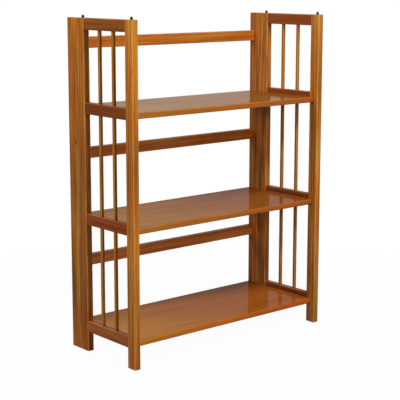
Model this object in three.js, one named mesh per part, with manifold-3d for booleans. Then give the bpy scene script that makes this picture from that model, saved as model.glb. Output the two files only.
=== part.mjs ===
// Folding bookcase with three shelves, slatted side frames and an open back.
// Millimetres, +Z up. The origin is on the floor, midway across the width and the depth.
// The front faces -Y. Left and right are as seen from the front, so left is -X.

import * as THREE from 'three';
import { mergeVertices } from 'three/addons/utils/BufferGeometryUtils.js';
import Module from 'manifold-3d';

const wasm = await Module();
wasm.setup();

// Overall size
const overallWidth = 698;
const overallDepth = 292;
const frameHeight = 926;

// Upright stock
const stockThickness = 19;
const frontPostDepth = 32;
const rearPostDepth = 36;
const backBoardDepth = 39;
const seamGap = 1.6;

// Side rails and slats
const sideRailThickness = 17;
const sideRailHeight = 32;
const lowestRailTop = 88;
const topBayHeight = 226;
const slatWidth = 9;
const slatSeat = 7;
const slatsPerBay = 2;

// Shelves
const shelfThickness = 16;
const shelfDrop = 14;
const shelfFrontSetback = 15;
const shelfBackSetback = 2;
const shelfEndGap = 1.2;
const shelfToRailGap = 0.8;

// Back rails
const backRailThickness = 19;
const backRailHeight = 31;
const backRailRise = 186;

// Tenons, and the play that every fitted piece has
const tenonLength = 10;
const tenonThickness = 9;
const tenonShoulder = 5;
const fit = 0.3;
const overrun = 1;

// Eased edges
const uprightEdge = 2;
const railEdge = 1.8;
const slatEdge = 2;
const shelfEdge = 3;
const endChamfer = 0.8;

// Pins and pegs
const pivotPinRadius = 4;
const pivotPinInBoard = 14;
const pivotPinInShelf = 24;
const supportPinRadius = 3;
const supportPinInPost = 12;
const supportPinReach = 6;
const supportPinSetback = 21;
const pinChamfer = 0.6;
const pegRadius = 3.8;
const pegHeight = 8;
const pegSeat = 14;
const pegSetback = 14.5;

// Butt hinges
const hingeHeight = 32;
const hingeDrop = 5;
const leafReach = 14;
const leafThickness = 1.2;
const leafGap = 0.3;
const knuckleRadius = 3.4;
const hingePinRadius = 1.5;
const hingePinHead = 1.2;
const knuckleCount = 5;

// Facets of the round pieces
const cornerSegments = 1;
const chamferSegments = 1;
const roundSegments = 16;
const hingeSegments = 12;
const domeSegments = 4;

// Places worked out from the sizes above
const frontY = -overallDepth / 2;
const backY = overallDepth / 2;
const sideMiddleX = overallWidth / 2 - stockThickness / 2;
const innerWidth = overallWidth - 2 * stockThickness;
const seamY = backY - backBoardDepth - seamGap / 2;
const frontPostY = frontY + frontPostDepth / 2;
const rearPostY = seamY - seamGap / 2 - rearPostDepth / 2;
const backBoardY = backY - backBoardDepth / 2;
const bayFrontY = frontY + frontPostDepth;
const bayBackY = rearPostY - rearPostDepth / 2;
const bayDepth = bayBackY - bayFrontY;
const bayY = (bayFrontY + bayBackY) / 2;
const backRailY = backY - backRailThickness / 2;
const pivotY = backY - backRailThickness - shelfToRailGap - shelfThickness / 2;
const supportPinY = frontY + supportPinSetback;
const levels = ['bottom', 'middle', 'top'];
const railNames = ['bottom', 'lower', 'upper', 'top'];
const railPitch = (frameHeight - topBayHeight - lowestRailTop) / (levels.length - 1);
const lowerRailTops = levels.map((level, i) => lowestRailTop + i * railPitch);
const railTops = [...lowerRailTops, frameHeight];
const railMiddles = railTops.map((top) => top - sideRailHeight / 2);
const shelfTops = levels.map((level, i) => railTops[i] - shelfDrop);
const shelfMiddles = shelfTops.map((top) => top - shelfThickness / 2);
const shelfUndersides = shelfTops.map((top) => top - shelfThickness);
const supportPinHeights = shelfUndersides.map((z) => z - fit - supportPinRadius);
const backRailMiddles = shelfTops.map((top) => top + backRailRise - backRailHeight / 2);
const hingeMiddles = shelfUndersides.map((z) => z - hingeDrop - hingeHeight / 2);
const knuckleHeight = hingeHeight / knuckleCount;
const shelfWidth = innerWidth - 2 * shelfEndGap;
const shelfFrontY = frontY + shelfFrontSetback;
const shelfBackY = backY - shelfBackSetback;
const shelfY = (shelfFrontY + shelfBackY) / 2;

// Where the slats of a bay stand, at even steps between the two posts
const slatPlaces = Array.from({ length: slatsPerBay }, (unused, i) => {
  const share = (i + 1) / (slatsPerBay + 1);
  return bayFrontY + share * bayDepth;
});

// Looks
const colours = { wood: 0xa9622a, steel: 0x8d9090, black: 0x17181a, bronze: 0x4a3524 };
const finishes = {
  wood: () => new THREE.MeshStandardMaterial({ color: colours.wood, roughness: 0.38, metalness: 0 }),
  steel: () => new THREE.MeshStandardMaterial({ color: colours.steel, roughness: 0.35, metalness: 1 }),
  black: () => new THREE.MeshStandardMaterial({ color: colours.black, roughness: 0.45, metalness: 0 }),
  bronze: () => new THREE.MeshStandardMaterial({ color: colours.bronze, roughness: 0.4, metalness: 1 }),
};

// A closed geometry as a solid that can be cut and joined
function toSolid(geometry) {
  geometry.deleteAttribute('normal');
  geometry.deleteAttribute('uv');
  const merged = mergeVertices(geometry);
  const vertProperties = new Float32Array(merged.attributes.position.array);
  const triVerts = new Uint32Array(merged.index.array);
  return new wasm.Manifold(new wasm.Mesh({ numProp: 3, vertProperties, triVerts }));
}

// The solid back as a geometry with flat faces
function toGeometry(solid) {
  const { vertProperties, triVerts } = solid.getMesh();
  const geometry = new THREE.BufferGeometry();
  geometry.setAttribute('position', new THREE.BufferAttribute(vertProperties, 3));
  geometry.setIndex(new THREE.BufferAttribute(triVerts, 1));
  const faceted = geometry.toNonIndexed();
  faceted.computeVertexNormals();
  return faceted;
}

// A rectangle with round corners, centred on zero
function roundedRectangle(width, height, radius) {
  const x = width / 2 - radius;
  const y = height / 2 - radius;
  const shape = new THREE.Shape();
  shape.absarc(x, y, radius, 0, Math.PI / 2);
  shape.absarc(-x, y, radius, Math.PI / 2, Math.PI);
  shape.absarc(-x, -y, radius, Math.PI, 1.5 * Math.PI);
  shape.absarc(x, -y, radius, 1.5 * Math.PI, 2 * Math.PI);
  return shape;
}

// A wooden bar with eased long edges, centred on zero, running along one axis
function bar(size, along, edge, chamfer) {
  const section = { x: [size.z, size.y], y: [size.x, size.z], z: [size.x, size.y] }[along];
  const outline = roundedRectangle(section[0], section[1], edge);
  const geometry = new THREE.ExtrudeGeometry(outline, {
    depth: size[along] - 2 * chamfer,
    bevelEnabled: chamfer > 0,
    bevelThickness: chamfer,
    bevelSize: chamfer,
    bevelOffset: -chamfer,
    bevelSegments: chamferSegments,
    curveSegments: cornerSegments,
  });
  geometry.translate(0, 0, chamfer - size[along] / 2);
  if (along === 'x') geometry.rotateY(Math.PI / 2);
  if (along === 'y') geometry.rotateX(-Math.PI / 2);
  return toSolid(geometry);
}

// A plain block between two corners
function block(low, high) {
  const size = high.map((value, i) => Math.abs(value - low[i]));
  const middle = high.map((value, i) => (value + low[i]) / 2);
  const geometry = new THREE.BoxGeometry(size[0], size[1], size[2]);
  geometry.translate(middle[0], middle[1], middle[2]);
  return toSolid(geometry);
}

// A round rod or a round hole along X or Z, from one place to another on that axis
function rod(along, radius, from, to, across, up, segments = roundSegments) {
  const geometry = new THREE.CylinderGeometry(radius, radius, Math.abs(to - from), segments);
  const middle = (from + to) / 2;
  if (along === 'x') {
    geometry.rotateZ(Math.PI / 2);
    geometry.translate(middle, across, up);
  } else {
    geometry.rotateX(Math.PI / 2);
    geometry.translate(across, up, middle);
  }
  return toSolid(geometry);
}

// A steel pin along X with chamfered ends, centred on zero
function pin(radius, length) {
  const half = length / 2;
  const profile = [
    [0, -half],
    [radius - pinChamfer, -half],
    [radius, pinChamfer - half],
    [radius, half - pinChamfer],
    [radius - pinChamfer, half],
    [0, half],
  ];
  const points = profile.map(([r, y]) => new THREE.Vector2(r, y));
  const geometry = new THREE.LatheGeometry(points, roundSegments);
  geometry.rotateZ(-Math.PI / 2);
  return geometry;
}

// One named piece in its place
function place(group, name, finish, shape, x, y, z) {
  const geometry = shape.isBufferGeometry ? shape : toGeometry(shape);
  const mesh = new THREE.Mesh(geometry, finishes[finish]());
  mesh.name = name;
  mesh.position.set(x, y, z);
  group.add(mesh);
}

function joined(first, ...others) {
  return others.reduce((solid, other) => solid.add(other), first);
}

function cut(first, others) {
  return others.reduce((solid, other) => solid.subtract(other), first);
}

// The room that a rail's tenon needs in an upright, whose own middle is at zero.
// toward is +1 or -1, the side of the upright that the rail meets.
function sideMortise(postDepth, toward, height) {
  const face = toward * postDepth / 2;
  const half = sideRailHeight / 2 - tenonShoulder + fit;
  const low = [-tenonThickness / 2 - fit, face - toward * (tenonLength + fit), height - half];
  const high = [tenonThickness / 2 + fit, face + toward * overrun, height + half];
  return block(low, high);
}

// The shallow bed that a hinge leaf lies in. toward is the side of the upright at the seam.
function leafBed(postDepth, toward, inward, height) {
  const face = toward * postDepth / 2;
  const depth = leafGap / 2 + leafThickness + fit - seamGap / 2;
  const innerFace = inward * stockThickness / 2;
  const half = hingeHeight / 2 + fit;
  const low = [innerFace - inward * (leafReach + fit), face - toward * depth, height - half];
  const high = [innerFace + inward * overrun, face + toward * overrun, height + half];
  return block(low, high);
}

// The front and rear post of a side frame
function makePost(postDepth, toward) {
  const upright = { x: stockThickness, y: postDepth, z: frameHeight };
  const half = frameHeight / 2;
  const mortises = railMiddles.map((z) => sideMortise(postDepth, toward, z - half));
  return cut(bar(upright, 'z', uprightEdge, endChamfer), mortises);
}

// The hole in the top of a post that its peg is seated in
function pegHole(postDepth) {
  const top = frameHeight / 2;
  const y = pegSetback - postDepth / 2;
  return rod('z', pegRadius + fit, top - pegSeat - fit, top + overrun, 0, y);
}

function supportPinHoles(inward) {
  const face = inward * stockThickness / 2;
  const bottom = face - inward * (supportPinInPost + fit);
  const mouth = face + inward * overrun;
  const y = supportPinY - frontPostY;
  const radius = supportPinRadius + fit;
  return supportPinHeights.map((z) => rod('x', radius, bottom, mouth, y, z - frameHeight / 2));
}

function makeFrontPost(inward) {
  const post = makePost(frontPostDepth, 1);
  return cut(post, [pegHole(frontPostDepth), ...supportPinHoles(inward)]);
}

function makeRearPost(inward) {
  const post = makePost(rearPostDepth, -1);
  const beds = hingeMiddles.map((z) => leafBed(rearPostDepth, 1, inward, z - frameHeight / 2));
  return cut(post, [pegHole(rearPostDepth), ...beds]);
}

// The upright of the back frame, with the back rails' mortises and the shelves' pivot holes
function makeBackBoard(inward) {
  const upright = { x: stockThickness, y: backBoardDepth, z: frameHeight };
  const half = frameHeight / 2;
  const face = inward * stockThickness / 2;
  const tenonHalf = backRailHeight / 2 - tenonShoulder + fit;
  const y = backRailY - backBoardY;
  const mortises = backRailMiddles.map((z) => block(
    [face - inward * (tenonLength + fit), y - tenonThickness / 2 - fit, z - half - tenonHalf],
    [face + inward * overrun, y + tenonThickness / 2 + fit, z - half + tenonHalf],
  ));
  const bottom = face - inward * (pivotPinInBoard + fit);
  const mouth = face + inward * overrun;
  const radius = pivotPinRadius + fit;
  const across = pivotY - backBoardY;
  const pivots = shelfMiddles.map((z) => rod('x', radius, bottom, mouth, across, z - half));
  const beds = hingeMiddles.map((z) => leafBed(backBoardDepth, -1, inward, z - half));
  return cut(bar(upright, 'z', uprightEdge, endChamfer), [...mortises, ...pivots, ...beds]);
}

function makeSideRail(index) {
  const length = bayDepth - 2 * fit;
  const rail = bar({ x: sideRailThickness, y: length, z: sideRailHeight }, 'y', railEdge, 0);
  const tenonEnd = bayDepth / 2 + tenonLength;
  const tenonHalf = sideRailHeight / 2 - tenonShoulder;
  const tenon = block(
    [-tenonThickness / 2, -tenonEnd, -tenonHalf],
    [tenonThickness / 2, tenonEnd, tenonHalf],
  );
  const faces = [];
  if (index > 0) faces.push(-1);
  if (index < railNames.length - 1) faces.push(1);
  const room = slatWidth + 2 * fit;
  const seatHeight = slatSeat + fit + overrun;
  const seatMiddle = sideRailHeight / 2 + overrun - seatHeight / 2;
  const seats = faces.flatMap((face) => slatPlaces.map((y) => (
    bar({ x: room, y: room, z: seatHeight }, 'z', slatEdge + fit, 0)
      .translate([0, y - bayY, face * seatMiddle])
  )));
  return cut(joined(rail, tenon), seats);
}

function makeSlat(bayHeight) {
  const size = { x: slatWidth, y: slatWidth, z: bayHeight + 2 * slatSeat };
  return bar(size, 'z', slatEdge, 0);
}

function makeBackRail() {
  const length = innerWidth - 2 * fit;
  const rail = bar({ x: length, y: backRailThickness, z: backRailHeight }, 'x', railEdge, 0);
  const tenonEnd = innerWidth / 2 + tenonLength;
  const tenonHalf = backRailHeight / 2 - tenonShoulder;
  const tenon = block(
    [-tenonEnd, -tenonThickness / 2, -tenonHalf],
    [tenonEnd, tenonThickness / 2, tenonHalf],
  );
  return joined(rail, tenon);
}

// A shelf, with a blind hole in each end for its pivot pin
function makeShelf() {
  const size = { x: shelfWidth, y: shelfBackY - shelfFrontY, z: shelfThickness };
  const radius = pivotPinRadius + fit;
  const holes = [-1, 1].map((end) => {
    const bottom = end * (shelfWidth / 2 - pivotPinInShelf - fit);
    const mouth = end * (shelfWidth / 2 + overrun);
    return rod('x', radius, bottom, mouth, pivotY - shelfY, 0);
  });
  return cut(bar(size, 'x', shelfEdge, endChamfer), holes);
}

// A stacking peg, seated in the top of a post, with a domed end
function makePeg() {
  const straight = pegHeight - pegRadius;
  const points = [new THREE.Vector2(0, -pegSeat), new THREE.Vector2(pegRadius, -pegSeat)];
  for (let i = 0; i < domeSegments; i += 1) {
    const angle = (i / domeSegments) * Math.PI / 2;
    points.push(new THREE.Vector2(pegRadius * Math.cos(angle), straight + pegRadius * Math.sin(angle)));
  }
  points.push(new THREE.Vector2(0, pegHeight));
  const geometry = new THREE.LatheGeometry(points, roundSegments);
  geometry.rotateX(Math.PI / 2);
  return geometry;
}

// One leaf of a butt hinge, with its own knuckles. The hinge's axis is at zero.
// away is +1 for the leaf on the back board and -1 for the leaf on the side frame.
// The board's leaf also carries the pin, and the frame's leaf is bored for it.
function makeLeaf(inward, away) {
  const onBoard = away > 0;
  const near = away * leafGap / 2;
  const far = away * (leafGap / 2 + leafThickness);
  const faceX = -inward * (knuckleRadius + fit);
  const endX = faceX - inward * leafReach;
  const plate = block([endX, near, -hingeHeight / 2], [faceX, far, hingeHeight / 2]);
  const all = Array.from({ length: knuckleCount }, (unused, i) => i);
  const own = all.filter((i) => (i % 2 === 0) === onBoard);
  const knuckles = own.flatMap((i) => {
    const low = i * knuckleHeight - hingeHeight / 2 + (i > 0 ? fit / 2 : 0);
    const high = (i + 1) * knuckleHeight - hingeHeight / 2 - (i < knuckleCount - 1 ? fit / 2 : 0);
    const strap = block([faceX - inward * overrun, near, low], [0, far, high]);
    return [strap, rod('z', knuckleRadius, low, high, 0, 0, hingeSegments)];
  });
  const leaf = joined(plate, ...knuckles);
  const tip = hingeHeight / 2 + hingePinHead;
  if (onBoard) return leaf.add(rod('z', hingePinRadius, -tip, tip, 0, 0, hingeSegments));
  return leaf.subtract(rod('z', hingePinRadius + fit, -tip, tip, 0, 0, hingeSegments));
}

// Everything at one side of the bookcase
function addSide(parent, side) {
  const name = side < 0 ? 'left' : 'right';
  const inward = -side;
  const group = new THREE.Group();
  group.position.x = side * sideMiddleX;
  parent.add(group);

  const half = frameHeight / 2;
  place(group, `${name}_front_post`, 'wood', makeFrontPost(inward), 0, frontPostY, half);
  place(group, `${name}_rear_post`, 'wood', makeRearPost(inward), 0, rearPostY, half);
  place(group, `${name}_back_board`, 'wood', makeBackBoard(inward), 0, backBoardY, half);

  railNames.forEach((level, i) => {
    place(group, `${name}_rail_${level}`, 'wood', makeSideRail(i), 0, bayY, railMiddles[i]);
  });

  levels.forEach((level, i) => {
    const low = railTops[i];
    const high = railTops[i + 1] - sideRailHeight;
    slatPlaces.forEach((y, n) => {
      const slatName = `${name}_slat_${level}_${n + 1}`;
      place(group, slatName, 'wood', makeSlat(high - low), 0, y, (low + high) / 2);
    });
  });

  const pegs = { front: frontPostY - frontPostDepth / 2, rear: rearPostY - rearPostDepth / 2 };
  Object.entries(pegs).forEach(([where, faceY]) => {
    place(group, `${name}_${where}_peg`, 'black', makePeg(), 0, faceY + pegSetback, frameHeight);
  });

  const innerFace = inward * stockThickness / 2;
  const hingeX = innerFace + inward * (knuckleRadius + fit);
  const pivotLength = pivotPinInBoard + shelfEndGap + pivotPinInShelf;
  const pivotX = innerFace + inward * (pivotLength / 2 - pivotPinInBoard);
  const supportLength = supportPinInPost + supportPinReach;
  const supportX = innerFace + inward * (supportLength / 2 - supportPinInPost);
  levels.forEach((level, i) => {
    const hinge = `${name}_hinge_${level}`;
    const z = hingeMiddles[i];
    place(group, `${hinge}_board_leaf`, 'bronze', makeLeaf(inward, 1), hingeX, seamY, z);
    place(group, `${hinge}_frame_leaf`, 'bronze', makeLeaf(inward, -1), hingeX, seamY, z);
    const pivotName = `${name}_pivot_pin_${level}`;
    const pivot = pin(pivotPinRadius, pivotLength);
    place(group, pivotName, 'steel', pivot, pivotX, pivotY, shelfMiddles[i]);
    const supportName = `${name}_support_pin_${level}`;
    const support = pin(supportPinRadius, supportLength);
    place(group, supportName, 'steel', support, supportX, supportPinY, supportPinHeights[i]);
  });
}

const bookcase = new THREE.Group();
addSide(bookcase, -1);
addSide(bookcase, 1);
levels.forEach((level, i) => {
  place(bookcase, `back_rail_${level}`, 'wood', makeBackRail(), 0, backRailY, backRailMiddles[i]);
  place(bookcase, `shelf_${level}`, 'wood', makeShelf(), 0, shelfY, shelfMiddles[i]);
});

export default bookcase;
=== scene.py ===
# %% [markdown]
# # A folding bookcase in honey-stained wood
#
# The bookcase is a frame of square-cut sticks under a satin lacquer, with three
# shelves that hinge up at the back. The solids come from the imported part, at
# their true sizes, and this script gives them their finish, their light and
# their camera. Everything is in metres, +Z is up, and the open front faces -Y.

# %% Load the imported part
import math
import random

import bpy
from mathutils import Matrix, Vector


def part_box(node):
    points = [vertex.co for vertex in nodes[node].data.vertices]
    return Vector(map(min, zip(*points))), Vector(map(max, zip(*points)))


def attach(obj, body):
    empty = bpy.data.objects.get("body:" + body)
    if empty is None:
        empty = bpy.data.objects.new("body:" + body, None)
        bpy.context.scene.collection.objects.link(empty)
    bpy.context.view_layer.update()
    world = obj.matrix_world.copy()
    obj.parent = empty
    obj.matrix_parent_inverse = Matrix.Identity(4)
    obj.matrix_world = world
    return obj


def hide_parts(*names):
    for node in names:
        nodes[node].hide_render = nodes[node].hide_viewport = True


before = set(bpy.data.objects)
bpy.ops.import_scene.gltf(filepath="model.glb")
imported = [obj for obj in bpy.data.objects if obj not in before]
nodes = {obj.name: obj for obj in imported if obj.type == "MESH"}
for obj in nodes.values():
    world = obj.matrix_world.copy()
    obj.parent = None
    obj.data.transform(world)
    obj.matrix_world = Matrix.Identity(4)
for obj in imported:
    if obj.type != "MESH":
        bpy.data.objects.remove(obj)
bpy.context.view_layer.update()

# %% [markdown]
# ## The camera
#
# The camera comes first, so that every later choice can be judged in the same
# view. Its place, direction and lens were fitted to the edges that can be
# measured in the photograph. The photograph keeps its uprights parallel, which
# takes a large vertical shift. That shift would push the bookcase out of every
# other view, so only a twentieth of the frame is used here, and the camera
# looks down by ten degrees instead.

# %% Place the camera
camera_place = (-2.1236, -2.4901, 1.0275)
look_down = 9.882
look_right = 40.214
focal_length = 103.77

camera = bpy.data.objects.new("camera", bpy.data.cameras.new("camera"))
bpy.context.scene.collection.objects.link(camera)
camera.location = camera_place
camera.rotation_euler = (math.radians(90 - look_down), 0, math.radians(-look_right))
camera.data.sensor_width = 36
camera.data.lens = focal_length
camera.data.shift_x = 0.0134
camera.data.shift_y = -0.05
camera.data.clip_end = 60
bpy.context.scene.camera = camera
print("camera looks down", look_down, "degrees through a", focal_length, "mm lens")

# %% [markdown]
# ## Small helpers for node trees
#
# A material and a geometry tree are both a list of nodes and the links between
# them. They could be built by hand in the node editor. One helper that makes a
# node and feeds its inputs does the same in text, and keeps each recipe short
# enough to read from top to bottom.


# %% Make one node and feed it
def add(tree, kind, inputs=None, **settings):
    node = tree.nodes.new(kind)
    for name, value in settings.items():
        setattr(node, name, value)
    for key, value in (inputs or {}).items():
        socket = node.inputs[key]
        if isinstance(value, bpy.types.NodeSocket):
            tree.links.new(value, socket)
        else:
            socket.default_value = value
    return node


def new_group(name, kind, takes, gives):
    tree = bpy.data.node_groups.new(name, kind)
    for label, socket_kind in takes:
        tree.interface.new_socket(label, in_out="INPUT", socket_type=socket_kind)
    for label, socket_kind in gives:
        tree.interface.new_socket(label, in_out="OUTPUT", socket_type=socket_kind)
    return tree, tree.nodes.new("NodeGroupInput"), tree.nodes.new("NodeGroupOutput")


print("one helper makes a node, one makes a node group")


# %% Shorten the four nodes that come up most
def maths(tree, operation, *values):
    inputs = dict(enumerate(values))
    return add(tree, "ShaderNodeMath", inputs, operation=operation).outputs[0]


def vector_maths(tree, operation, *values):
    inputs = dict(enumerate(values))
    node = add(tree, "ShaderNodeVectorMath", inputs, operation=operation)
    return node.outputs["Value" if operation in ("LENGTH", "DISTANCE") else "Vector"]


def map_range(tree, value, low, high, to_low=0.0, to_high=1.0):
    inputs = {0: value, 1: low, 2: high, 3: to_low, 4: to_high}
    return add(tree, "ShaderNodeMapRange", inputs).outputs[0]


def mix_colours(tree, share, first, second):
    inputs = {0: share, 6: first, 7: second}
    return add(tree, "ShaderNodeMix", inputs, data_type="RGBA").outputs[2]


print("and four shorten maths, vectors, ranges and colours")

# %% [markdown]
# ## The figure of the wood
#
# On the real sticks the stain shows three things at once: broad bands where it
# went in more or less deeply, the growth rings as finer streaks, and short dark
# pores. All of them run along the stick. A texture drawn on the flat faces would
# not meet at the corners, so the figure is a solid one: it is worked out from
# the place in space, as if each stick were sawn from a log.
#
# The group takes a place whose Z runs along the grain. Z is squeezed before the
# noise reads it, which stretches every mark along the stick. Strength says how
# much of the figure shows, because the shelf tops are nearly plain and the posts
# are not.

# %% Build the figure as a node group
figure, takes, gives = new_group(
    "wood_figure",
    "ShaderNodeTree",
    [
        ("Place", "NodeSocketVector"),
        ("Stain", "NodeSocketVector"),
        ("Strength", "NodeSocketFloat"),
    ],
    [
        ("Colour", "NodeSocketColor"),
        ("Roughness", "NodeSocketFloat"),
        ("Height", "NodeSocketFloat"),
    ],
)
place = takes.outputs["Place"]
strength_given = takes.outputs["Strength"]


def squeezed(along):
    return vector_maths(figure, "MULTIPLY", place, (1, 1, along))


def noise(vector, scale, detail=2.0, rough=0.5):
    inputs = {"Vector": vector, "Scale": scale, "Detail": detail, "Roughness": rough}
    return add(figure, "ShaderNodeTexNoise", inputs).outputs[0]


bands = noise(squeezed(along=0.05), scale=44, detail=3)
streaks = noise(squeezed(along=0.03), scale=150, detail=3, rough=0.6)
pores = noise(squeezed(along=0.03), scale=900, detail=2, rough=0.6)
print("three noises make the bands, the streaks and the pores")

# %% [markdown]
# The rings are circles round the middle of the log. The log is taken to lie a
# hand's width away and slightly askew, which gives straight lines on a narrow
# stick and long pointed arches on a wide board. A slow noise pushes the circles
# a little out of round.

# %% Add the growth rings
log_middle = (0.11, 0.06, 0)
log_lean = math.radians(0.7)
out_of_round = (0.012, 0.012, 0)
ring_width = 0.0052

leaning = add(
    figure,
    "ShaderNodeVectorRotate",
    {"Vector": place, "Axis": (0, 1, 0), "Angle": log_lean},
).outputs[0]
slow_noise = noise(squeezed(along=0.15), scale=14, detail=2)
wander = vector_maths(figure, "MULTIPLY", slow_noise, out_of_round)
off_centre = vector_maths(figure, "ADD", leaning, wander)
flat_place = vector_maths(figure, "MULTIPLY", off_centre, (1, 1, 0))
from_middle = vector_maths(figure, "DISTANCE", flat_place, log_middle)
ring_turns = maths(figure, "MULTIPLY", from_middle, 2 * math.pi / ring_width)
rings = map_range(figure, maths(figure, "SINE", ring_turns), -1, 1, 0, 0.5)
print("one growth ring every", ring_width * 1000, "mm")

# %% [markdown]
# The bands, the streaks and the rings add up to one tone, which chooses between
# a deep red-brown, the common stain and a light honey colour. The pores then
# darken that colour a little, and the stain of the stick itself multiplies it.
# A noise seldom leaves the middle of its range, so each is stretched first to
# run from 0 to 1.


# %% Mix the marks into a colour
def toward(plain, marked):
    inputs = {0: strength_given, 2: plain, 3: marked}
    return add(figure, "ShaderNodeMix", inputs, data_type="FLOAT").outputs[0]


stops = [
    (0.0, (0.285, 0.074, 0.006, 1)),
    (0.5, (0.515, 0.174, 0.019, 1)),
    (1.0, (0.800, 0.340, 0.056, 1)),
]
bands_between = (0.32, 0.68)
streaks_between = (0.34, 0.66)
tone_between = (0.3, 2.2)
pores_between = (0.30, 0.46)
pore_dark = 0.72

band_share = map_range(figure, bands, *bands_between)
streak_share = map_range(figure, streaks, *streaks_between)
tone = maths(figure, "ADD", maths(figure, "ADD", band_share, streak_share), rings)
tone_share = toward(0.5, map_range(figure, tone, *tone_between))
stain = add(figure, "ShaderNodeValToRGB", {0: tone_share})
ramp = stain.color_ramp
ramp.elements[0].position, ramp.elements[0].color = stops[0]
ramp.elements[1].position, ramp.elements[1].color = stops[2]
middle = ramp.elements.new(stops[1][0])
middle.color = stops[1][1]

pore_shade = toward(1.0, map_range(figure, pores, *pores_between, pore_dark, 1.0))
shaded = add(
    figure,
    "ShaderNodeVectorMath",
    {0: stain.outputs["Color"], "Scale": pore_shade},
    operation="SCALE",
).outputs[0]
shaded = vector_maths(figure, "MULTIPLY", shaded, takes.outputs["Stain"])
print("the stain runs from", stops[0][1][:3], "to", stops[2][1][:3])

# %% [markdown]
# No stick has one hue from end to end. It wanders slowly between a redder and a
# more olive brown, in soft patches a hand long. One more noise, hardly squeezed,
# picks a factor for each of red, green and blue.

# %% Let the hue wander along the stick
redder = (1.07, 0.92, 0.84, 1)
more_olive = (0.93, 1.05, 1.15, 1)
patches_between = (0.35, 0.65)

patch_noise = noise(squeezed(along=0.35), scale=17, detail=1)
patches = toward(0.5, map_range(figure, patch_noise, *patches_between))
warmth = mix_colours(figure, patches, redder, more_olive)
shaded = vector_maths(figure, "MULTIPLY", shaded, warmth)
print("the red wanders between the factors", more_olive[0], "and", redder[0])

# %% [markdown]
# Every corner of the real sticks shows as a fine light line, where its eased
# edge catches the light. Here that highlight is painted into the colour. The
# solids mark their eased facets with an attribute, which a later cell stores.
# That mark mixes in a pale honey colour, a painted highlight, unevenly along the
# stick. The pale streaks are also a little smoother than the dark ones, and the
# pores are left as fine pits.

# %% Paint a highlight on the eased edges
highlight_colour = (0.86, 0.46, 0.12, 1)
highlight_between = (0.35, 0.7)
faintest_highlight, brightest_highlight = 0.15, 0.8
dark_streak, pale_streak = 0.3, 0.7
rough_dark, rough_pale = 0.40, 0.30

# Painted highlight: the eased facets are mixed towards a pale honey colour, where the
# edges catch the light.
eased = add(figure, "ShaderNodeAttribute", attribute_name="eased").outputs["Fac"]
highlight_noise = noise(squeezed(along=0.3), scale=40)
highlight_strength = toward(0.0, map_range(figure, highlight_noise, *highlight_between, faintest_highlight, brightest_highlight))
highlighted = maths(figure, "MULTIPLY", eased, highlight_strength)
with_highlights = mix_colours(figure, highlighted, shaded, highlight_colour)
roughness = map_range(figure, streaks, dark_streak, pale_streak, rough_dark, rough_pale)
height = map_range(figure, pores, *pores_between)
figure.links.new(with_highlights, gives.inputs["Colour"])
figure.links.new(roughness, gives.inputs["Roughness"])
figure.links.new(height, gives.inputs["Height"])
print("edges are rubbed towards", highlight_colour[:3])

# %% [markdown]
# ## One material for each stick
#
# Sticks from one board look alike but never continue each other's grain. Each
# therefore reads the figure at its own place in the log, through a Mapping node
# that also lays the grain along the stick. The lacquer is a coat over the
# stained wood: it is what turns the shelf tops pale where they are seen at a
# low angle. It could be a mirror mixed in by angle, but the shader's own coat
# already does that.

# %% Make the wood of one stick
grain_turns = {"x": (0, math.pi / 2, 0), "y": (math.pi / 2, 0, 0), "z": (0, 0, 0)}
log_reach = (0.03, 0.03, 3)
log_places = random.Random(11)
pit_strength, pit_depth = 0.25, 0.0002
lacquer = {
    "Specular IOR Level": 0.0,
    "Coat Weight": 0.32,
    "Coat Roughness": 0.1,
    "Coat IOR": 1.25,
}


def surface_of(material):
    return material.node_tree.nodes["Principled BSDF"]


def new_material(name):
    material = bpy.data.materials.new(name)
    material.use_nodes = True
    return material, material.node_tree, surface_of(material)


def stick_wood(name, along, stain, strength, shift_attribute=None):
    material, tree, surface = new_material(name)
    here = add(tree, "ShaderNodeTexCoord").outputs["Object"]
    if shift_attribute:
        shift = add(tree, "ShaderNodeAttribute", attribute_name=shift_attribute)
        here = vector_maths(tree, "ADD", here, shift.outputs["Vector"])
    start = [log_places.uniform(-reach, reach) for reach in log_reach]
    mapping = {"Vector": here, "Rotation": grain_turns[along], "Location": start}
    mapped = add(tree, "ShaderNodeMapping", mapping).outputs[0]
    wood = add(tree, "ShaderNodeGroup", node_tree=figure)
    tree.links.new(mapped, wood.inputs["Place"])
    wood.inputs["Stain"].default_value = stain
    wood.inputs["Strength"].default_value = strength
    height = wood.outputs["Height"]
    pits = {"Strength": pit_strength, "Distance": pit_depth, "Height": height}
    bump = add(tree, "ShaderNodeBump", pits).outputs[0]
    tree.links.new(wood.outputs["Colour"], surface.inputs["Base Color"])
    tree.links.new(wood.outputs["Roughness"], surface.inputs["Roughness"])
    tree.links.new(bump, surface.inputs["Normal"])
    for socket, value in lacquer.items():
        surface.inputs[socket].default_value = value
    return material


print("lacquer:", lacquer)

# %% [markdown]
# ## Soft edges on the solids
#
# The solids already carry their eased edges, as one narrow facet on each corner.
# A bevel would round them further but change the solids. Smooth shading across
# the facet makes it read as round without that. A short geometry tree merges the
# loose triangles and marks as sharp the edges that turn by more than a given
# angle, and a Weighted Normal modifier keeps the wide faces flat.
#
# The same tree stores the attribute that the painted edge highlight reads. A wide
# face looks along X, Y or Z, so the largest part of its normal is one. An eased
# facet looks between two of them. Facets that look down are left out, because
# they lie in shade.

# %% Find the eased facets
merge_distance = 0.00001
squarely = 0.97
downward = -0.3

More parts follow.
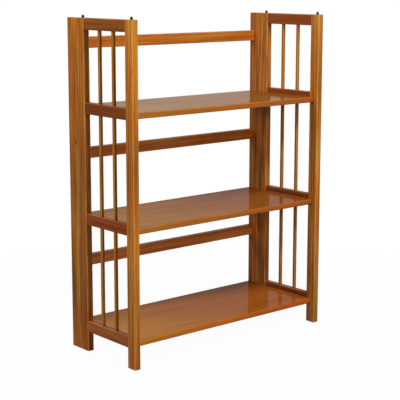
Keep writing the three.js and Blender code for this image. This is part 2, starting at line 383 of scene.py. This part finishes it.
soft_tree, takes, gives = new_group(
    "soft_edges",
    "GeometryNodeTree",
    [("Geometry", "NodeSocketGeometry"), ("Sharpest", "NodeSocketFloat")],
    [("Geometry", "NodeSocketGeometry")],
)
merging = {"Geometry": takes.outputs["Geometry"], "Distance": merge_distance}
merged = add(soft_tree, "GeometryNodeMergeByDistance", merging).outputs[0]
looks = add(soft_tree, "GeometryNodeInputNormal").outputs["Normal"]
looks_up = add(soft_tree, "ShaderNodeSeparateXYZ", {0: looks}).outputs["Z"]
sizes = vector_maths(soft_tree, "ABSOLUTE", looks)
parts = add(soft_tree, "ShaderNodeSeparateXYZ", {0: sizes}).outputs
larger = maths(soft_tree, "MAXIMUM", parts["X"], parts["Y"])
largest = maths(soft_tree, "MAXIMUM", larger, parts["Z"])
between = maths(soft_tree, "LESS_THAN", largest, squarely)
# Facets that look down lie in shade, so they get no painted highlight.
not_down = maths(soft_tree, "GREATER_THAN", looks_up, downward)
is_eased = maths(soft_tree, "MULTIPLY", between, not_down)
edged = add(
    soft_tree,
    "GeometryNodeStoreNamedAttribute",
    {"Geometry": merged, "Name": "eased", "Value": is_eased},
    data_type="FLOAT",
    domain="FACE",
).outputs[0]
print("a facet is eased where no part of its normal passes", squarely)

# %% Shade smooth, except at the sharp edges
smooth = add(
    soft_tree,
    "GeometryNodeSetShadeSmooth",
    {"Geometry": edged, "Shade Smooth": True},
    domain="FACE",
).outputs[0]
turn = add(soft_tree, "GeometryNodeInputMeshEdgeAngle").outputs["Unsigned Angle"]
is_sharp = add(
    soft_tree,
    "FunctionNodeCompare",
    {0: turn, 1: takes.outputs["Sharpest"]},
    data_type="FLOAT",
    operation="GREATER_THAN",
).outputs[0]
marked = add(
    soft_tree,
    "GeometryNodeSetShadeSmooth",
    {"Geometry": smooth, "Selection": is_sharp, "Shade Smooth": False},
    domain="EDGE",
).outputs[0]
soft_tree.links.new(marked, gives.inputs["Geometry"])
wood_sharpest = 50
metal_sharpest = 40


def set_input(modifier, tree, label, value):
    modifier[tree.interface.items_tree[label].identifier] = value


def soften(piece, sharpest):
    soft = piece.modifiers.new("soft edges", "NODES")
    soft.node_group = soft_tree
    set_input(soft, soft_tree, "Sharpest", math.radians(sharpest))
    flat = piece.modifiers.new("flat faces", "WEIGHTED_NORMAL")
    flat.keep_sharp = True


print("edges stay sharp past", wood_sharpest, "or", metal_sharpest, "degrees")

# %% [markdown]
# ## The sticks and boards
#
# The grain follows the length of each piece: up the posts and back boards, front
# to back along the side rails, and across the width on the shelves and the back
# rails. The stain took differently on each kind of stick. The side rails came
# out dark and red, the slats much like the posts, and the shelves almost without
# figure. Each kind has its grain, its stain as a factor for red, green and blue,
# and the strength of its figure. No two boards are quite alike, so each piece
# but the slats also has a factor of its own. These factors were set by comparing
# renders of each piece with the photograph, and rounded to a twentieth.

# %% List the kinds of stick
woods = {
    "upright": ("z", (1.0, 1.0, 1.0), 1.0),
    "side_rail": ("y", (0.62, 0.44, 0.47), 0.6),
    "back_rail": ("x", (1.10, 0.93, 1.0), 0.8),
    "shelf": ("x", (0.92, 1.0, 1.1), 0.28),
    "slat": ("z", (0.93, 0.98, 0.95), 0.7),
}
own_stain = {
    "left_front_post": (1.00, 0.95, 0.75),
    "left_rear_post": (0.85, 0.75, 0.65),
    "left_back_board": (0.95, 0.90, 0.65),
    "right_front_post": (1.15, 1.20, 1.35),
    "right_rear_post": (0.90, 0.95, 1.30),
    "right_back_board": (0.80, 0.70, 0.65),
    "back_rail_bottom": (1.00, 1.10, 1.35),
    "back_rail_middle": (0.85, 0.80, 0.90),
    "back_rail_top": (0.95, 0.95, 0.80),
    "left_rail_bottom": (1.30, 1.50, 1.80),
    "left_rail_lower": (1.10, 0.90, 0.55),
    "left_rail_top": (0.80, 0.95, 0.80),
    "left_rail_upper": (0.70, 0.65, 0.50),
    "right_rail_bottom": (0.95, 1.10, 2.20),
    "right_rail_lower": (0.90, 1.10, 2.20),
    "right_rail_top": (1.00, 0.90, 1.10),
    "right_rail_upper": (0.85, 0.80, 1.30),
    "shelf_bottom": (1.00, 0.90, 0.80),
    "shelf_middle": (0.80, 0.80, 0.90),
    "shelf_top": (0.80, 0.85, 1.00),
}


def kind_of(name):
    if name.endswith(("_post", "_board")):
        return "upright"
    if name.startswith("back_rail_"):
        return "back_rail"
    if name.startswith("shelf_"):
        return "shelf"
    if "_rail_" in name:
        return "side_rail"
    return None


print(len(woods), "kinds of stick,", len(own_stain), "pieces with their own stain")

# %% Give each wooden solid its own wood
wooden = [name for name in sorted(nodes) if kind_of(name)]
for name in wooden:
    along, kind_stain, strength = woods[kind_of(name)]
    stain = [common * own for common, own in zip(kind_stain, own_stain[name])]
    wood = stick_wood(name + "_wood", along, stain, strength)
    nodes[name].material_slots[0].material = wood
    soften(nodes[name], wood_sharpest)
print(len(wooden), "wooden pieces, each with its own place in the log")

# %% [markdown]
# The front edge of a shelf took the stain redder than its top did. The material
# reads which way each face looks, from the Normal of the Texture Coordinate,
# which turns with the shelf when it folds. A facet that looks at -Y is the front
# edge, and its colour is multiplied by a redder factor. Each shelf also turns
# redder from its left end to its right end, along X, as a painted reflection of
# the red right side in the lacquer. The two lower ones are darkest in the corner
# at the back right, which is painted shade. A second material on the front faces
# would do for the edge, but not for the slow changes along the top. The lacquer
# lies thicker on the top shelf, which looks palest at a low angle.

# %% Vary the stain over each shelf, with painted reflection and shade
front_stain = (1.28, 1.06, 0.76, 1)
right_side_reflection = (0.96, 0.74, 0.75, 1)
no_change = (1, 1, 1, 1)
facing_front = (-0.5, -0.8)
half_width = 0.33
corner_shade_reach = (0.4, 0.12, 1)
corner_shade_fades = (0.3, 1.15)
# Each shelf: its coat weight, its colour at the left end, and the painted shade for its
# back right corner.
shelf_looks = {
    "shelf_top": (0.34, (1.0, 1.1, 1.1, 1), no_change),
    "shelf_middle": (0.27, (1.0, 1.1, 1.1, 1), (0.55, 0.45, 0.5, 1)),
    "shelf_bottom": (0.26, (1.0, 1.2, 1.25, 1), (0.5, 0.42, 0.5, 1)),
}


def multiply_colour(material, factor):
    tree, base = material.node_tree, surface_of(material).inputs["Base Color"]
    product = vector_maths(tree, "MULTIPLY", base.links[0].from_socket, factor)
    tree.links.new(product, base)


for name, (coat, left_end, painted_corner_shade) in shelf_looks.items():
    material = nodes[name].material_slots[0].material
    tree = material.node_tree
    surface_of(material).inputs["Coat Weight"].default_value = coat
    coordinates = add(tree, "ShaderNodeTexCoord").outputs
    here = coordinates["Object"]

    looks = add(tree, "ShaderNodeSeparateXYZ", {0: coordinates["Normal"]}).outputs
    in_front = map_range(tree, looks["Y"], *facing_front)
    multiply_colour(material, mix_colours(tree, in_front, no_change, front_stain))

    # Painted reflection: each shelf turns redder towards its right end, as the red
    # right side reflects in the lacquer.
    across = add(tree, "ShaderNodeSeparateXYZ", {0: here}).outputs["X"]
    to_right = map_range(tree, across, -half_width, half_width)
    multiply_colour(material, mix_colours(tree, to_right, left_end, right_side_reflection))

    # Painted shade: the two lower shelves darken towards the back right corner, where
    # the board and rail shade them.
    back_right_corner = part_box(name)[1]
    from_corner = vector_maths(tree, "SUBTRACT", here, tuple(back_right_corner))
    in_reaches = vector_maths(tree, "DIVIDE", from_corner, corner_shade_reach)
    reach = vector_maths(tree, "LENGTH", in_reaches)
    out_of_corner_shade = map_range(tree, reach, *corner_shade_fades)
    multiply_colour(material, mix_colours(tree, out_of_corner_shade, painted_corner_shade, no_change))
print("front edges stained by", front_stain[:3])

# %% [markdown]
# One small dark knot shows on the outer face of the left back board. It could be
# painted on, but here it is an egg-shaped spot in the solid wood, longest along
# the grain. The way from its middle is measured in its own three sizes, so that
# one number says how far out a place lies.

# %% Set the knot in the left back board
knot_place = (-0.349, 0.113, 0.588)
knot_size = (0.005, 0.003, 0.009)
knot_core, knot_rim = 0.5, 1.5
knot_colour = (0.06, 0.016, 0.004, 1)

material = nodes["left_back_board"].material_slots[0].material
tree, base = material.node_tree, surface_of(material).inputs["Base Color"]
here = add(tree, "ShaderNodeTexCoord").outputs["Object"]
offset = vector_maths(tree, "SUBTRACT", here, knot_place)
in_sizes = vector_maths(tree, "DIVIDE", offset, knot_size)
reach = vector_maths(tree, "LENGTH", in_sizes)
spot = map_range(tree, reach, knot_core, knot_rim, 1.0, 0.0)
knotted = mix_colours(tree, spot, base.links[0].from_socket, knot_colour)
tree.links.new(knotted, base)
print("one knot, at", knot_place)

# %% [markdown]
# ## The slats
#
# Two thin slats stand in each bay of each side, twelve in all, and differ only in
# place and length. That is what Geometry Nodes are for: one eased square bar is
# made from a filleted square swept along a line, a copy is set on a point for
# each slat, and each copy is stretched to its own length. A random shift, stored
# on each copy, keeps slats that stand above each other from sharing their grain.
# The slats carry less lacquer than the thicker sticks.

# %% Put one point at the middle of each slat
slat_names = sorted(name for name in nodes if "_slat_" in name)
slat_boxes = {name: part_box(name) for name in slat_names}
middles = [(low + high) / 2 for low, high in slat_boxes.values()]
lengths = [high.z - low.z for low, high in slat_boxes.values()]
first_low, first_high = slat_boxes[slat_names[0]]
slat_width = first_high.x - first_low.x

slat_mesh = bpy.data.meshes.new("slats")
slat_mesh.from_pydata(middles, [], [])
length_data = slat_mesh.attributes.new("slat_length", "FLOAT", "POINT")
length_data.data.foreach_set("value", lengths)
slat_points = bpy.data.objects.new("slat_points", slat_mesh)
bpy.context.scene.collection.objects.link(slat_points)
print(len(slat_names), "slats,", round(slat_width * 1000, 1), "mm square")

# %% Sweep one eased bar, one metre long
fillet_points = 3
bar_start, bar_end = (0, 0, -0.5), (0, 0, 0.5)

slat_tree, takes, gives = new_group(
    "slat_tree",
    "GeometryNodeTree",
    [
        ("Geometry", "NodeSocketGeometry"),
        ("Width", "NodeSocketFloat"),
        ("Edge", "NodeSocketFloat"),
        ("Seed", "NodeSocketInt"),
        ("Wood", "NodeSocketMaterial"),
    ],
    [("Geometry", "NodeSocketGeometry")],
)
square = add(
    slat_tree,
    "GeometryNodeCurvePrimitiveQuadrilateral",
    {"Width": takes.outputs["Width"], "Height": takes.outputs["Width"]},
).outputs[0]
eased_square = add(
    slat_tree,
    "GeometryNodeFilletCurve",
    {"Curve": square, "Radius": takes.outputs["Edge"], "Count": fillet_points},
    mode="POLY",
).outputs[0]
line = add(
    slat_tree,
    "GeometryNodeCurvePrimitiveLine",
    {"Start": bar_start, "End": bar_end},
).outputs[0]
bar = add(
    slat_tree,
    "GeometryNodeCurveToMesh",
    {"Curve": line, "Profile Curve": eased_square, "Fill Caps": True},
).outputs[0]
print("each corner of the bar is rounded by", fillet_points, "points")

# %% Set a copy on each point, at its own length
shift_low, shift_high = (-0.02, -0.02, -2), (0.02, 0.02, 2)

own_length = add(
    slat_tree,
    "GeometryNodeInputNamedAttribute",
    {"Name": "slat_length"},
    data_type="FLOAT",
).outputs[0]
stretch = add(slat_tree, "ShaderNodeCombineXYZ", {"X": 1.0, "Y": 1.0, "Z": own_length})
copies = add(
    slat_tree,
    "GeometryNodeInstanceOnPoints",
    {"Points": takes.outputs["Geometry"], "Instance": bar, "Scale": stretch.outputs[0]},
).outputs[0]
shift = add(
    slat_tree,
    "FunctionNodeRandomValue",
    {0: shift_low, 1: shift_high, "Seed": takes.outputs["Seed"]},
    data_type="FLOAT_VECTOR",
).outputs[0]
stored = add(
    slat_tree,
    "GeometryNodeStoreNamedAttribute",
    {"Geometry": copies, "Name": "log_shift", "Value": shift},
    data_type="FLOAT_VECTOR",
    domain="INSTANCE",
).outputs[0]
real = add(slat_tree, "GeometryNodeRealizeInstances", {"Geometry": stored}).outputs[0]
finished = add(
    slat_tree,
    "GeometryNodeSetMaterial",
    {"Geometry": real, "Material": takes.outputs["Wood"]},
).outputs[0]
slat_tree.links.new(finished, gives.inputs["Geometry"])
print("each copy's grain is shifted by up to", shift_high[2], "m along the log")


# %% Turn the tree's result into a plain mesh
def plain_copy(source, name):
    bpy.context.view_layer.update()
    result = source.evaluated_get(bpy.context.evaluated_depsgraph_get())
    mesh = bpy.data.meshes.new_from_object(result)
    bpy.data.objects.remove(source)
    piece = bpy.data.objects.new(name, mesh)
    bpy.context.scene.collection.objects.link(piece)
    return piece


slat_edge = 0.002
slat_seed = 5
slat_coat = 0.12

slat_wood = stick_wood("slat_wood", *woods["slat"], "log_shift")
surface_of(slat_wood).inputs["Coat Weight"].default_value = slat_coat
maker = slat_points.modifiers.new("slats", "NODES")
maker.node_group = slat_tree
set_input(maker, slat_tree, "Width", slat_width)
set_input(maker, slat_tree, "Edge", slat_edge)
set_input(maker, slat_tree, "Seed", slat_seed)
set_input(maker, slat_tree, "Wood", slat_wood)
slats = plain_copy(slat_points, "slats")
soften(slats, wood_sharpest)
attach(slats, "frame")
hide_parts(*slat_names)
print("slats:", len(slats.data.polygons), "faces")

# %% [markdown]
# ## The metal pieces
#
# Three small finishes are left. The stacking pegs are black, with a soft shine
# on their round tops. The pins that carry the shelves are plain turned steel.
# The hinges are dark bronze, a little brighter in patches. A flat colour would
# do for pieces so small, but would look like plastic from nearby. One recipe
# serves for all three instead: a noise moves the colour and the roughness
# between two values.

# %% Make the small finishes
mottle_between = (0.3, 0.7)
mottle_detail = 4.0


def metal(name, dark, light, rough, patch_scale, metallic=1.0):
    material, tree, surface = new_material(name)
    here = add(tree, "ShaderNodeTexCoord").outputs["Object"]
    patches = {"Vector": here, "Scale": patch_scale, "Detail": mottle_detail}
    mottle = add(tree, "ShaderNodeTexNoise", patches).outputs[0]
    colour = mix_colours(tree, mottle, (*dark, 1), (*light, 1))
    roughness = map_range(tree, mottle, *mottle_between, *rough)
    tree.links.new(colour, surface.inputs["Base Color"])
    tree.links.new(roughness, surface.inputs["Roughness"])
    surface.inputs["Metallic"].default_value = metallic
    return material


peg_black = metal(
    "peg_black",
    dark=(0.004, 0.004, 0.004),
    light=(0.012, 0.012, 0.013),
    rough=(0.55, 0.7),
    patch_scale=500,
    metallic=0.0,
)
surface_of(peg_black).inputs["Specular IOR Level"].default_value = 0.1
pin_steel = metal(
    "pin_steel",
    dark=(0.09, 0.085, 0.08),
    light=(0.18, 0.17, 0.155),
    rough=(0.3, 0.45),
    patch_scale=700,
)
hinge_bronze = metal(
    "hinge_bronze",
    dark=(0.11, 0.065, 0.03),
    light=(0.24, 0.15, 0.07),
    rough=(0.3, 0.5),
    patch_scale=260,
)
print("three finishes: peg black, pin steel and hinge bronze")

# %% Give each small piece its finish
finishes = {"_peg": peg_black, "_pin_": pin_steel, "_hinge_": hinge_bronze}
small = 0
for name in sorted(nodes):
    for mark, finish in finishes.items():
        if mark in name:
            nodes[name].material_slots[0].material = finish
            soften(nodes[name], metal_sharpest)
            small += 1
print(small, "small metal pieces")

# %% [markdown]
# ## The studio
#
# The photograph has a white ground without a clear shadow. A white plane lit by
# the lamps would do, but it would also throw more light up at the bookcase. So
# the floor is a grey plane for the light that it bounces, and it takes nearly
# all of its white straight from the camera ray. The few percent that it takes
# from the lamps, near the bookcase, keep a faint shadow. Glossy rays see the
# same white, which the lacquer reflects.

# %% Lay the floor
half_floor = 20
floor_drop = 0.0004
floor_grey = (0.5, 0.5, 0.5, 1)
corners = [(-1, -1), (1, -1), (1, 1), (-1, 1)]
places = [(x * half_floor, y * half_floor, -floor_drop) for x, y in corners]
floor_mesh = bpy.data.meshes.new("floor")
floor_mesh.from_pydata(places, [], [(0, 1, 2, 3)])
floor = bpy.data.objects.new("floor", floor_mesh)
bpy.context.scene.collection.objects.link(floor)

floor_white, tree, surface = new_material("floor_white")
surface.inputs["Base Color"].default_value = floor_grey
surface.inputs["Roughness"].default_value = 0.9
surface.inputs["Specular IOR Level"].default_value = 0.1
print("the floor bounces", floor_grey[0], "of the light")


# %% Make the floor white where it is seen directly
def seen_directly(tree):
    rays = add(tree, "ShaderNodeLightPath").outputs
    first = maths(tree, "MAXIMUM", rays["Is Camera Ray"], rays["Is Glossy Ray"])
    return maths(tree, "MAXIMUM", first, rays["Is Transmission Ray"])


near, far = 0.5, 1.6
white_near, white_far = 0.97, 1.0

glow = add(tree, "ShaderNodeEmission", {"Color": (1, 1, 1, 1), "Strength": 1.0})
here = add(tree, "ShaderNodeTexCoord").outputs["Object"]
away = vector_maths(tree, "LENGTH", here)
fade = map_range(tree, away, near, far, white_near, white_far)
share = maths(tree, "MULTIPLY", seen_directly(tree), fade)
blend = add(
    tree,
    "ShaderNodeMixShader",
    {0: share, 1: surface.outputs[0], 2: glow.outputs[0]},
).outputs[0]
tree.links.new(blend, tree.nodes["Material Output"].inputs["Surface"])
floor_mesh.materials.append(floor_white)
print("near the bookcase", white_near, "of its white comes from the camera ray")

# %% [markdown]
# The sky does the same: it is white where it is seen directly, and almost dark
# as a light, so that the lamps alone shape the bookcase.

# %% Light the sky
ambient_strength = 0.02
world = bpy.data.worlds.new("studio")
bpy.context.scene.world = world
world.use_nodes = True
tree = world.node_tree
tree.nodes.clear()
dim = {"Color": (1, 1, 1, 1), "Strength": ambient_strength}
bright = {"Color": (1, 1, 1, 1), "Strength": 1.0}
ambient = add(tree, "ShaderNodeBackground", dim).outputs[0]
white = add(tree, "ShaderNodeBackground", bright).outputs[0]
either = add(
    tree,
    "ShaderNodeMixShader",
    {0: seen_directly(tree), 1: ambient, 2: white},
).outputs[0]
ending = add(tree, "ShaderNodeOutputWorld")
tree.links.new(either, ending.inputs["Surface"])
print("the sky lights the scene with a strength of", ambient_strength)

# %% [markdown]
# The fronts of the sticks are the brightest faces and the outer side is darker,
# and the rails under a shelf lie in its shade. The left rear post and the fronts
# of the left slats are darkest of all, because the front post stands between them
# and the light. So the key lamp is small, and hangs high and straight in front of
# the left side, with a weaker one below it. A wide lamp on the left, a little
# behind, and a small one near the top light the outer side. Faint lamps on the
# right and behind keep the far sides readable.


# %% Hang the lamps
def lamp(name, place, aim, size, power):
    light = bpy.data.lights.new(name, "AREA")
    light.shape = "SQUARE"
    light.size = size
    light.energy = power
    holder = bpy.data.objects.new(name, light)
    bpy.context.scene.collection.objects.link(holder)
    holder.location = place
    towards = Vector(aim) - Vector(place)
    holder.rotation_euler = towards.to_track_quat("-Z", "Y").to_euler()


middle_of_case = (0, 0, 0.5)
top_of_case = (0, 0, 0.9)
lamp("key_lamp", (-0.29, -2.2, 2.9), middle_of_case, size=0.4, power=57)
lamp("low_lamp", (-0.34, -2.8, 1.5), middle_of_case, size=0.32, power=17)
lamp("left_lamp", (-2.6, 0.8, 1.8), middle_of_case, size=1.0, power=24)
lamp("top_left_lamp", (-1.2, -0.1, 1.6), top_of_case, size=0.6, power=5)
lamp("right_lamp", (2.8, 0.9, 1.5), middle_of_case, size=1.2, power=13)
lamp("back_lamp", (0.5, 2.8, 1.9), middle_of_case, size=1.2, power=12)

bpy.context.scene.view_settings.view_transform = "Standard"
print("six lamps and a pale floor")
